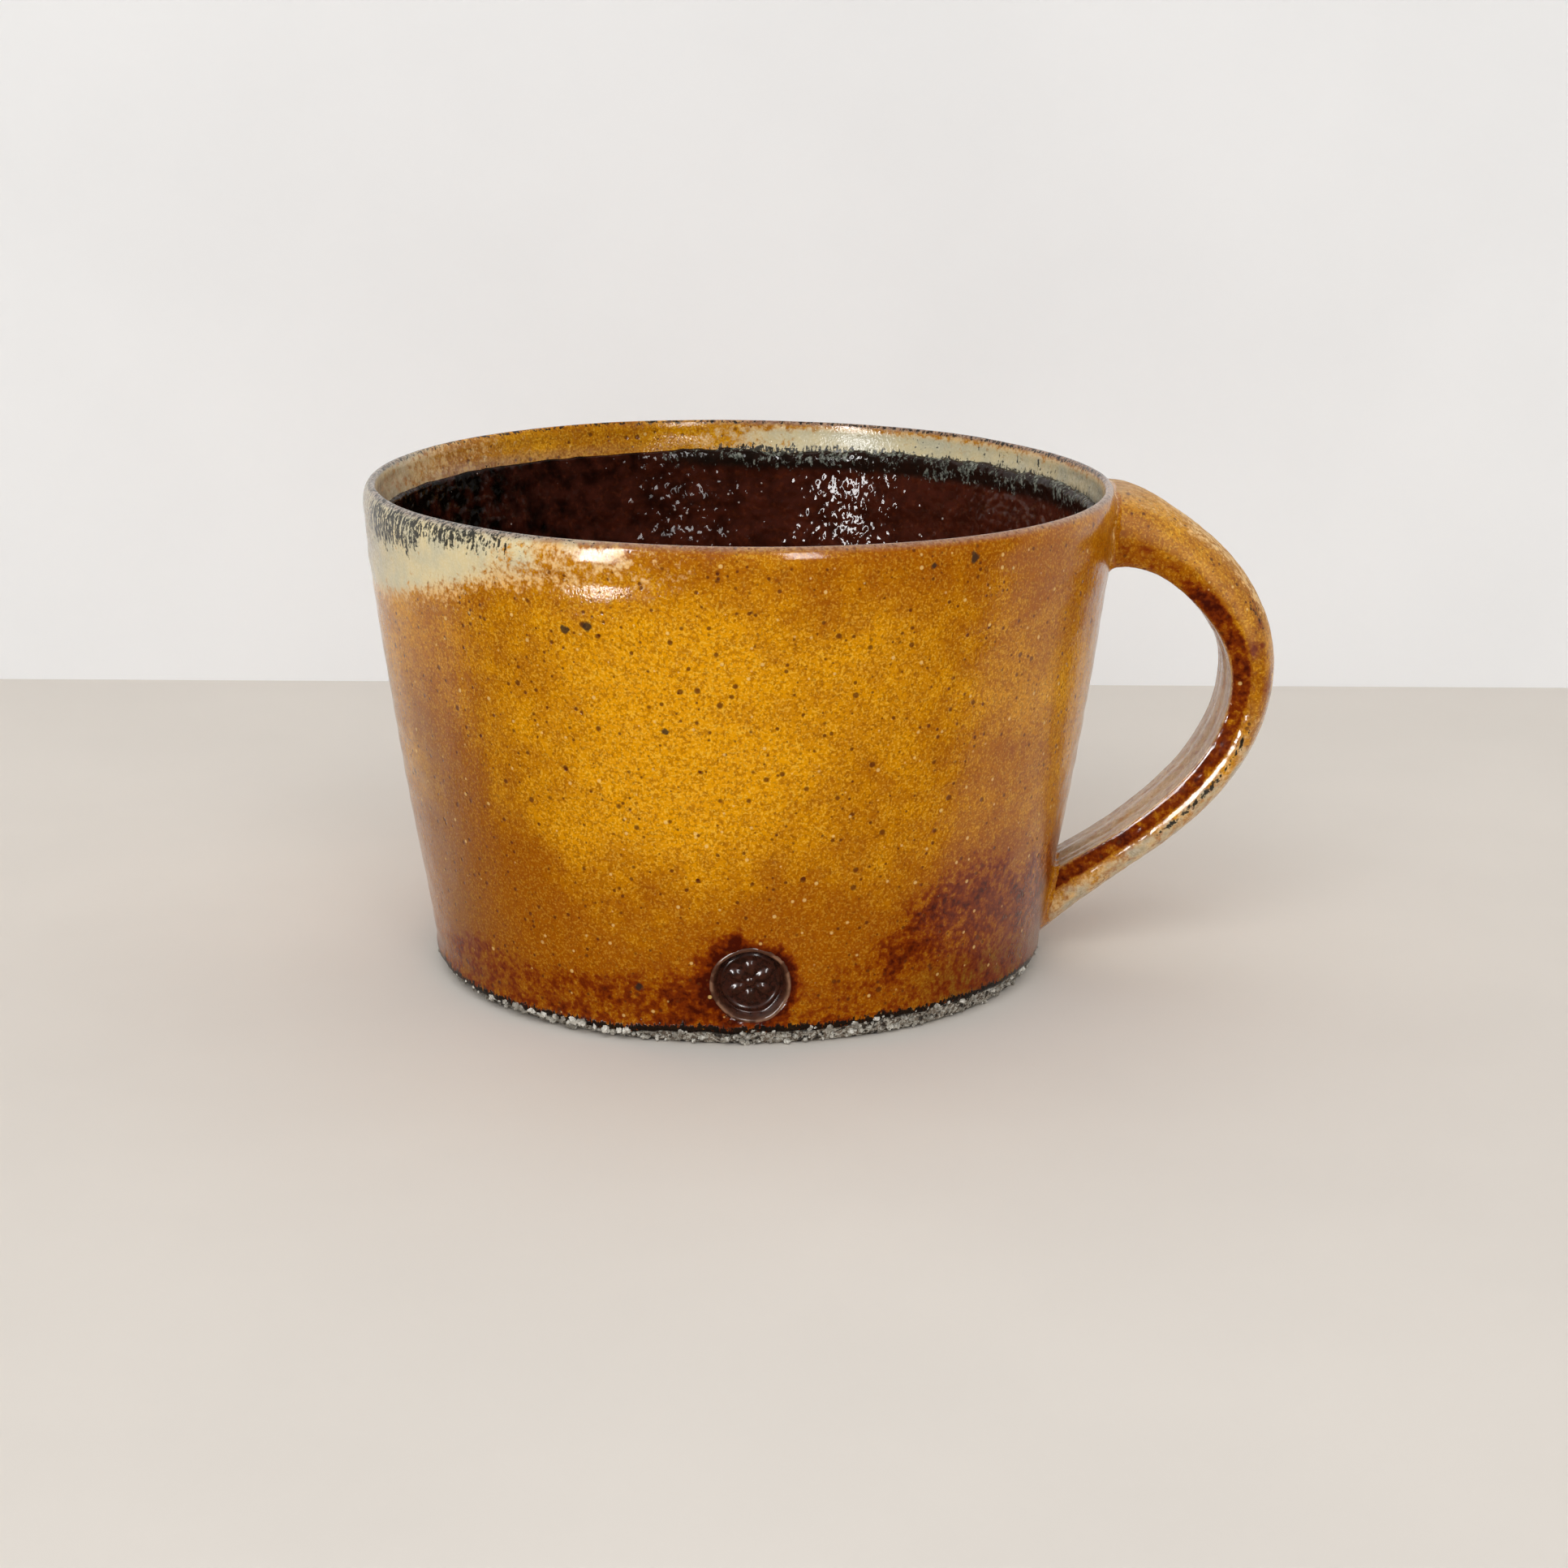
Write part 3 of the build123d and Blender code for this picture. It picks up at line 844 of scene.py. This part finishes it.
class Recipe(Nodes):
    """A material written as short node expressions, in millimetres."""

    def __init__(self, name):
        self.material = bpy.data.materials.new(name)
        super().__init__(self.material)
        self.place = self.stretch(self.node("TexCoord").outputs["Object"], (1 / MM,) * 3)

    def vector(self, operation, *values):
        made = self.node("VectorMath")
        made.operation = operation
        return self.fill(made, *values)

    def stretch(self, vector, factors):
        return self.vector("MULTIPLY", vector, factors).outputs[0]

    def math(self, operation, *values):
        made = self.node("Math")
        made.operation = operation
        return self.fill(made, *values).outputs[0]

    def add(self, *values):
        return functools.reduce(lambda total, value: self.math("ADD", total, value), values)

    def times(self, *values):
        return functools.reduce(lambda total, value: self.math("MULTIPLY", total, value), values)

    def ramp(self, value, start, end, low=0.0, high=1.0):
        made = self.node("MapRange")
        made.interpolation_type = "SMOOTHSTEP"
        return self.fill(made, value, start, end, low, high).outputs[0]

    def mix(self, factor, low, high):
        made = self.node("Mix")
        made.data_type = "RGBA"
        self.join(factor, made.inputs[0])
        self.join(low, made.inputs[6])
        self.join(high, made.inputs[7])
        return made.outputs[2]

    def paint(self, under, colour, *cover):
        """A colour laid over another where the product of the cover's values is 1."""
        return self.mix(self.times(*cover), under, colour)

    def noise(self, size, detail=2.0, rough=0.5, squeeze=(1, 1, 1), twist=0.0):
        """Soft noise whose features are about size millimetres across."""
        place = self.place if squeeze == (1, 1, 1) else self.stretch(self.place, squeeze)
        made = self.node("TexNoise", Vector=place, Scale=1 / size, Detail=detail)
        self.join(rough, made.inputs["Roughness"])
        self.join(twist, made.inputs["Distortion"])
        return made.outputs[0]

    def cells(self, apart):
        """Scattered cells about apart millimetres from each other."""
        return self.node("TexVoronoi", Vector=self.place, Scale=1 / apart).outputs

    def dots(self, apart, radius, share):
        """Round specks of a radius, in a share of the cells."""
        cell = self.cells(apart)
        chance = self.fill(self.node("SeparateColor"), cell["Color"]).outputs
        picked = self.ramp(chance[0], 1 - share - 0.02, 1 - share + 0.02)
        size = self.ramp(chance[1], 0, 1, radius * 0.55 / apart, radius * 1.2 / apart)
        near = self.math("SUBTRACT", size, cell["Distance"])
        soft = radius * 0.35 / apart
        return self.times(self.ramp(near, -soft, soft), picked)

    def domes(self, apart, radius):
        """Round blisters of a radius, one in each cell."""
        return self.ramp(self.cells(apart)["Distance"], 0, radius / apart, 0.85, 0.0)

    def spot(self, centre, radius):
        """One speck with an uneven edge."""
        distance = self.vector("DISTANCE", self.place, centre).outputs["Value"]
        wander = self.ramp(self.noise(0.7), 0.3, 0.7, -0.25 * radius, 0.25 * radius)
        return self.ramp(self.add(distance, wander), radius * 1.15, radius * 0.6)

    def mask(self, name):
        made = self.node("Attribute")
        made.attribute_name = name
        return made.outputs["Fac"]

    def finish(self, colour, roughness, height, depth, specular=0.5):
        """Ends the material; depth is the height's reach in millimetres."""
        bump = self.node("Bump", Strength=1.0, Distance=depth * MM, Height=height)
        surface = self.node("BsdfPrincipled", Roughness=roughness, Normal=bump.outputs[0])
        self.join(colour, surface.inputs["Base Color"])
        self.join(specular, surface.inputs["Specular IOR Level"])
        return self.end(surface.outputs[0])

    def end(self, shader):
        self.node("OutputMaterial", Surface=shader)
        return self.material


# ---- colours
AMBER = (0.805, 0.34, 0.001)
TAN = (0.38, 0.106, 0.001)
RUST = (0.27, 0.058, 0.001)
EMBER = (0.22, 0.031, 0.001)
DEEP = (0.064, 0.006, 0.001)
GOLD = (0.98, 0.56, 0.05)
OLIVE = (0.17, 0.088, 0.01)
CREAM = (0.82, 0.68, 0.38)
BONE = (0.88, 0.8, 0.6)
SAGE = (0.66, 0.6, 0.4)
PEACH = (0.92, 0.5, 0.13)
LILAC = (0.44, 0.38, 0.34)
MAUVE = (0.2, 0.13, 0.1)
BLACK = (0.008, 0.008, 0.006)
BROWN = (0.12, 0.027, 0.004)
# STRAW: pale specks that are partly painted glints.
STRAW = (0.95, 0.62, 0.2)
UMBER = (0.15, 0.036, 0.002)
SPOT = (0.03, 0.022, 0.016)
# LINER_BLACK to LINER_BROWN also carries painted shade and light across the liner.
LINER_BLACK = (0.002, 0.001, 0.0005)
LINER_BROWN = (0.07, 0.013, 0.006)
LINER_RUST = (0.12, 0.024, 0.008)
CRYSTAL_AND_GLINT = (0.62, 0.5, 0.44)
BORDER_BLACK = (0.008, 0.007, 0.005)
BORDER_DARK = (0.07, 0.08, 0.06)
BORDER_PALE = (0.32, 0.33, 0.27)
POOL_BLACK = (0.022, 0.007, 0.004)
POOL_BROWN = (0.058, 0.016, 0.009)
POOL_CREST = (0.1, 0.035, 0.016)
POOL_RIM = (0.36, 0.19, 0.11)
CLAY_DARK = (0.15, 0.115, 0.085)
CLAY_BROWN = (0.25, 0.2, 0.15)
CLAY_PALE = (0.66, 0.63, 0.55)
CLAY_BURNT = (0.022, 0.015, 0.01)
CLAY_PIT = (0.05, 0.03, 0.02)
GRIT_GREY = (0.3, 0.27, 0.22)
GRIT_PALE = (0.72, 0.69, 0.61)
GRIT_DARK = (0.1, 0.07, 0.05)
FLOOR_PAINT = (0.8, 0.745, 0.68)
FLOOR_IN_GLAZE = (0.03, 0.027, 0.022)
WALL_PAINT = (0.95, 0.95, 0.95)


# ---- materials
def amber_glaze(name, spots=()):
    """Runny amber glaze, yellow to tan, with burns, cream ash and black crystals by mask; the yellow-to-tan
    shade also holds painted light and shade.
    """
    r = Recipe(name)
    middle = r.noise(3.2)
    grain = r.noise(0.62, 2.0, 0.6)
    tiny = r.noise(0.34, 1.0)
    clouds = r.ramp(r.noise(19), 0.25, 0.75, -0.24, 0.24)
    # The shade mask holds the glaze's tone together with painted light and shade.
    shade = r.add(r.mask("shade"), clouds, r.ramp(middle, 0.2, 0.8, -0.18, 0.18))
    colour = r.mix(r.ramp(shade, -0.1, 1.1), AMBER, TAN)
    colour = r.paint(colour, RUST, r.ramp(grain, 0.46, 0.62), 0.48)
    colour = r.paint(colour, GOLD, r.ramp(tiny, 0.5, 0.66), r.ramp(shade, 0.0, 1.1, 0.55, 0.22))
    colour = r.paint(colour, OLIVE, r.mask("olive"), 0.85)
    colour = r.paint(colour, UMBER, r.ramp(r.noise(0.46, 1.0), 0.57, 0.68), 0.32)
    burn = r.mask("scorch")
    mottle = r.ramp(r.noise(1.3), 0.3, 0.7, -0.2, 0.2)
    uneven = r.add(r.ramp(middle, 0.25, 0.75, -0.16, 0.16), r.ramp(grain, 0.25, 0.75, -0.2, 0.2), mottle)
    burn = r.add(burn, r.times(uneven, r.ramp(burn, 0.0, 0.4)))
    colour = r.paint(colour, EMBER, r.ramp(burn, 0.02, 0.62))
    colour = r.paint(colour, DEEP, r.ramp(burn, 0.42, 1.05))
    dark_dots = r.add(r.dots(2.3, 0.36, 0.5), r.dots(1.3, 0.24, 0.5))
    colour = r.paint(colour, BROWN, dark_dots, 0.82)
    # Pale straw specks: partly the glaze's own specks, partly painted glints of light.
    pale_specks_and_glints = r.dots(1.9, 0.24, 0.45)
    colour = r.paint(colour, STRAW, pale_specks_and_glints, 0.62)
    # On the handle the ash mask also holds painted reflections.
    ash = r.mask("ash")
    pale = r.mix(r.ramp(r.noise(4.5, 3.0), 0.35, 0.65), CREAM, SAGE)
    pale = r.paint(pale, PEACH, r.ramp(ash, 0.95, 0.25))
    pale = r.paint(pale, BONE, r.ramp(tiny, 0.45, 0.7), 0.35)
    veil = r.add(ash, r.ramp(grain, 0.2, 0.8, -0.3, 0.3), r.ramp(middle, 0.2, 0.8, -0.16, 0.16), mottle)
    veil = r.times(r.ramp(veil, 0.22, 0.78), r.ramp(ash, 0.02, 0.2))
    colour = r.paint(colour, pale, veil)
    bloom = r.mix(r.ramp(grain, 0.35, 0.65), LILAC, MAUVE)
    colour = r.paint(colour, bloom, r.mask("grey"), r.ramp(grain, 0.2, 0.6, 0.65, 1.0))
    soot = r.mask("soot")
    streak = r.noise(0.52, 3.0, 0.6, (1, 1, 0.22), 0.4)
    clump = r.noise(0.55, 3.0, 0.65)
    flecks = r.add(r.times(streak, 0.55), r.times(clump, 0.45), r.times(soot, 0.3))
    black = r.times(r.ramp(flecks, 0.66, 0.73), r.ramp(soot, 0.03, 0.2))
    colour = r.paint(colour, BLACK, black, 0.96)
    for centre, radius in spots:
        colour = r.paint(colour, SPOT, r.spot(centre, radius), 0.88)
    rough = r.add(r.ramp(middle, 0.2, 0.8, 0.08, 0.18), r.times(veil, 0.08), r.times(black, 0.1),
                  r.times(r.mask("dull"), 0.45))
    height = r.add(r.times(grain, 0.55), r.times(tiny, 0.35), r.times(middle, 0.9), r.times(black, 0.3),
                   r.times(dark_dots, -0.35), r.times(pale_specks_and_glints, 0.25), -0.9)
    height = r.times(height, r.ramp(r.mask("calm"), 0, 1, 1.0, 0.22))
    return r.finish(colour, rough, height, 0.09, 0.33)


def liner_glaze():
    """Iron glaze, almost black, painted brown on its lit side, with crystals that are partly painted glints
    and a grey-green border.
    """
    r = Recipe("dark_liner_glaze")
    middle = r.noise(2.8, 2.5)
    grain = r.noise(0.85)
    tiny = r.noise(0.42, 1.0)
    blister = r.noise(1.15, 0.5)
    # Black to brown here is painted shade to painted light across the liner.
    painted_light_side = r.add(r.mask("painted_light_side"), r.ramp(middle, 0.2, 0.8, -0.35, 0.35))
    colour = r.mix(painted_light_side, LINER_BLACK, LINER_BROWN)
    colour = r.paint(colour, LINER_RUST, r.ramp(grain, 0.52, 0.7), painted_light_side, 0.5)
    # Pale crystal dots: partly real crystals, partly painted glints of light.
    crystals_and_glints = r.dots(1.7, 0.17, 0.22)
    colour = r.paint(colour, CRYSTAL_AND_GLINT, crystals_and_glints, 0.8)
    border = r.mask("border")
    patch = r.ramp(r.noise(3.4), 0.38, 0.62, -0.12, 0.04)
    clump = r.add(r.noise(0.75, 3.0, 0.7, (1, 1, 0.6)), r.times(border, 0.15), patch)
    pale = r.times(r.ramp(clump, 0.63, 0.72), r.ramp(border, 0.05, 0.4))
    colour = r.paint(colour, BORDER_BLACK, r.ramp(border, 0.1, 0.6), 0.8)
    colour = r.paint(colour, r.mix(r.ramp(tiny, 0.35, 0.65), BORDER_DARK, BORDER_PALE), pale, 0.85)
    rough = r.add(0.07, r.times(pale, 0.3))
    height = r.add(r.times(middle, 0.42), r.times(blister, 0.45), r.times(grain, 0.06), r.times(crystals_and_glints, 0.3),
                   r.times(r.domes(1.7, 1.05), 0.36), r.times(pale, 0.3))
    return r.finish(colour, rough, height, 0.34, r.ramp(painted_light_side, 0.0, 0.8, 0.05, 0.2))


def seal_glaze():
    """Glaze that pooled dark in the seal and thinned to pink-brown on its lip."""
    r = Recipe("pooled_seal_glaze")
    grain = r.noise(0.7)
    colour = r.mix(r.ramp(grain, 0.3, 0.7), POOL_BLACK, POOL_BROWN)
    colour = r.paint(colour, POOL_CREST, r.mask("crest"), 0.45)
    colour = r.paint(colour, POOL_RIM, r.mask("rim"), r.ramp(r.noise(1.6), 0.42, 0.6, 0.1, 0.75))
    return r.finish(colour, 0.22, grain, 0.004, 0.6)


def bare_clay():
    """Rough fired clay, pale and burnt in patches, with small pits."""
    r = Recipe("bare_stoneware_clay")
    middle = r.noise(3.0, 3.0)
    grain = r.noise(0.5, 3.0, 0.7)
    colour = r.mix(r.ramp(middle, 0.35, 0.65), CLAY_DARK, CLAY_BROWN)
    colour = r.paint(colour, CLAY_PALE, r.ramp(grain, 0.47, 0.56), 0.9)
    colour = r.paint(colour, CLAY_BURNT, r.ramp(r.noise(1.1, 3.0, 0.7), 0.52, 0.58), 0.9)
    colour = r.paint(colour, CLAY_PIT, r.dots(2.1, 0.35, 0.4), 0.8)
    height = r.add(r.times(grain, 0.8), r.times(middle, 0.5))
    return r.finish(colour, 0.86, height, 0.16, 0.25)


def kiln_grit():
    """Grey and pale crumbs with darker corners."""
    r = Recipe("kiln_grit")
    grain = r.noise(0.5)
    colour = r.mix(r.ramp(r.noise(2.0, 1.0), 0.4, 0.6), GRIT_GREY, GRIT_PALE)
    colour = r.paint(colour, GRIT_DARK, r.ramp(grain, 0.55, 0.7), 0.7)
    return r.finish(colour, r.ramp(grain, 0.3, 0.7, 0.35, 0.7), grain, 0.08, 0.45)


# ---- the pieces
# Large dark specks on the wall: degrees right of the front, height and radius.
WALL_SPOTS = ((-25.3, 60.6, 0.75), (-21.8, 61.4, 0.8), (35.0, 69.9, 0.8),
              (28.0, 69.3, 0.45), (-11.0, 47.0, 0.55), (-17.5, 8.5, 0.7))


wall_spots = [(on_outside(np.radians(degrees), height), radius) for degrees, height, radius in WALL_SPOTS]
wall_glaze = amber_glaze("amber_wall_glaze", wall_spots)
settle(make_wall(), wall_glaze, "amber_glaze", "outer_glaze")
settle(make_clay(), bare_clay(), "stoneware_clay", "mug_body")
settle(make_crumbs(), kiln_grit(), "stoneware_clay")
settle(make_liner(), liner_glaze(), "liner_glaze", "liner_glaze")
settle(make_seal(), seal_glaze(), "seal_glaze", "seal_glaze")

section_out, section_over = strap_outline(STRAP_AROUND)
strap_grid = strap_rows(section_out, section_over)
handle_glaze = amber_glaze("amber_handle_glaze")
strap = skin("handle_strap", strap_grid, strap_masks(section_out), capped=True)
settle(strap, handle_glaze, "amber_glaze", "pulled_handle", "handle_glaze")

rings, share, turn = make_joint(strap_grid, 1.2, 101)
# The pale line drawn with the ash mask across the upper fillet is a painted highlight on the joint's ridge.
upper = skin("upper_joint_fillet", rings, {"shade": 0.75, "ash": 0.35 * hill(share, 0.3, 0.16), "calm": 0.9})
settle(upper, handle_glaze, "joining_slip", "upper_joint_slip")
rings, share, turn = make_joint(strap_grid[::-1], 1.4, 111)
crack = hill(share, 0.75, 0.1) * rise(ripple(turn, 14, 115), -0.2, 0.3)
lower = skin("lower_joint_fillet", rings, {"shade": 0.8, "soot": 0.9 * crack, "calm": 0.9})
settle(lower, handle_glaze, "joining_slip", "lower_joint_slip")


# ---- floor and backdrop, in metres
FAR = 4.0
BENEATH = -0.00002
BACKDROP_AT = 0.178
BACKDROP_TOP = 2.5
DIM_FROM = 16.0  # millimetres behind the mug's middle: nearer than this, mirror rays see a dim floor


def matt(r, colour):
    """Plain paint that is a little uneven."""
    tint = r.vector("SCALE", colour)
    r.join(r.ramp(r.noise(60, 3.0), 0.3, 0.7, 0.985, 1.015), tint.inputs["Scale"])
    return tint.outputs[0]


def floor_paint():
    """Matt paint that mirror rays see dark in front of the mug, as in a dim room."""
    r = Recipe("pale_floor")
    shown = matt(r, FLOOR_PAINT)
    path = r.node("LightPath")
    parts = r.fill(r.node("SeparateXYZ"), r.place).outputs
    ahead = r.ramp(parts[1], DIM_FROM, DIM_FROM - 62)
    beside = r.times(r.ramp(parts[0], 44, 66), r.ramp(parts[1], -62, -40))
    ahead = r.times(ahead, r.math("SUBTRACT", 1.0, beside))
    shown = r.paint(shown, FLOOR_IN_GLAZE, path.outputs["Is Glossy Ray"], ahead)
    return r.end(r.node("BsdfDiffuse", Color=shown).outputs[0])


def backdrop_paint():
    """Matt paint that is clear from behind."""
    r = Recipe("pale_backdrop")
    surface = r.node("BsdfDiffuse", Color=matt(r, WALL_PAINT))
    clear = r.node("BsdfTransparent")
    side = r.node("NewGeometry")
    return r.end(r.blend(side.outputs["Backfacing"], surface.outputs[0], clear.outputs[0]))


def panel(name, near, far, material):
    """A flat sheet between two long edges, each given as y and z."""
    mesh = bpy.data.meshes.new(name)
    mesh.from_pydata([(-FAR, *near), (FAR, *near), (FAR, *far), (-FAR, *far)], [], [(0, 1, 2, 3)])
    mesh.materials.append(material)
    add_object(name, mesh)


panel("floor", (-FAR, BENEATH), (FAR, BENEATH), floor_paint())
panel("backdrop", (BACKDROP_AT, 0), (BACKDROP_AT, BACKDROP_TOP), backdrop_paint())


# ---- light, in metres and watts
SKY_LIGHT = ((0.96, 0.98, 1.0), 0.5)
SKY_IN_GLAZE = ((0.95, 0.97, 1.0), 0.07)
SKY_SHOWN = ((0.86, 0.845, 0.83), 1.0)
AIM_HEIGHT = 0.04


def sky():
    """Even soft light; the room in front looks dim to mirror rays."""
    world = bpy.data.worlds.new("soft_room")
    bpy.context.scene.world = world
    tree = Nodes(world)
    path = tree.node("LightPath").outputs
    light, dim, shown = (tree.node("Background", Color=colour, Strength=strength).outputs[0]
                         for colour, strength in (SKY_LIGHT, SKY_IN_GLAZE, SKY_SHOWN))
    around = tree.blend(path["Is Glossy Ray"], light, dim)
    tree.node("OutputWorld", Surface=tree.blend(path["Is Camera Ray"], around, shown))


def window(name, bearing, lift, distance, size, power, mirror_only=True):
    """A soft rectangular light that looks at the mug; angles are in degrees."""
    data = bpy.data.lights.new(name, "AREA")
    data.shape = "RECTANGLE"
    data.size, data.size_y = size
    data.energy = power
    lamp = add_object(name, data)
    turn, up = math.radians(bearing), math.radians(lift)
    aim = Vector((math.sin(turn) * math.cos(up), -math.cos(turn) * math.cos(up), math.sin(up)))
    lamp.location = aim * distance + Vector((0, 0, AIM_HEIGHT))
    lamp.rotation_mode = "QUATERNION"
    lamp.rotation_quaternion = (-aim).to_track_quat("-Z", "Y")
    lamp.visible_camera = False
    lamp.visible_diffuse = not mirror_only
    lamp.visible_glossy = mirror_only
    return lamp


sky()
window("left_window", bearing=-40.5, lift=22, distance=0.55, size=(0.05, 0.51), power=4.0)
window("right_window", bearing=21, lift=34, distance=1.6, size=(0.19, 0.95), power=11)
window("front_glow", bearing=-4, lift=36, distance=1.4, size=(1.1, 0.9), power=10, mirror_only=False)
door = window("open_door", bearing=-36, lift=15, distance=0.52, size=(0.3, 0.3), power=9)
handle_only = bpy.data.collections.new("lit_by_open_door")
for lit in (strap, lower):
    handle_only.objects.link(lit)
door.light_linking.receiver_collection = handle_only


# ---- camera, in metres and radians
CAMERA_AT = Vector((-0.00022, -0.5037, 0.1598))
CAMERA_YAW = 0.0138
CAMERA_PITCH = 0.2592
CAMERA_ROLL = 0.0088
LENS = 79.7


def place_camera():
    data = bpy.data.cameras.new("camera")
    camera = add_object("camera", data)
    flat = math.cos(CAMERA_PITCH)
    ahead = Vector((math.sin(CAMERA_YAW) * flat, math.cos(CAMERA_YAW) * flat, -math.sin(CAMERA_PITCH)))
    right = Vector((math.cos(CAMERA_YAW), -math.sin(CAMERA_YAW), 0))
    up = right.cross(ahead)
    cosine, sine = math.cos(CAMERA_ROLL), math.sin(CAMERA_ROLL)
    right, up = (right * cosine + up * sine), (up * cosine - right * sine)
    turned = Matrix((right, up, -ahead)).transposed()
    camera.matrix_world = Matrix.Translation(CAMERA_AT) @ turned.to_4x4()
    data.sensor_width = 36
    data.lens = LENS
    data.clip_start = 0.01
    data.clip_end = 20
    bpy.context.scene.camera = camera


place_camera()
view_settings = bpy.context.scene.view_settings
view_settings.view_transform = "Standard"
view_settings.look = "None"
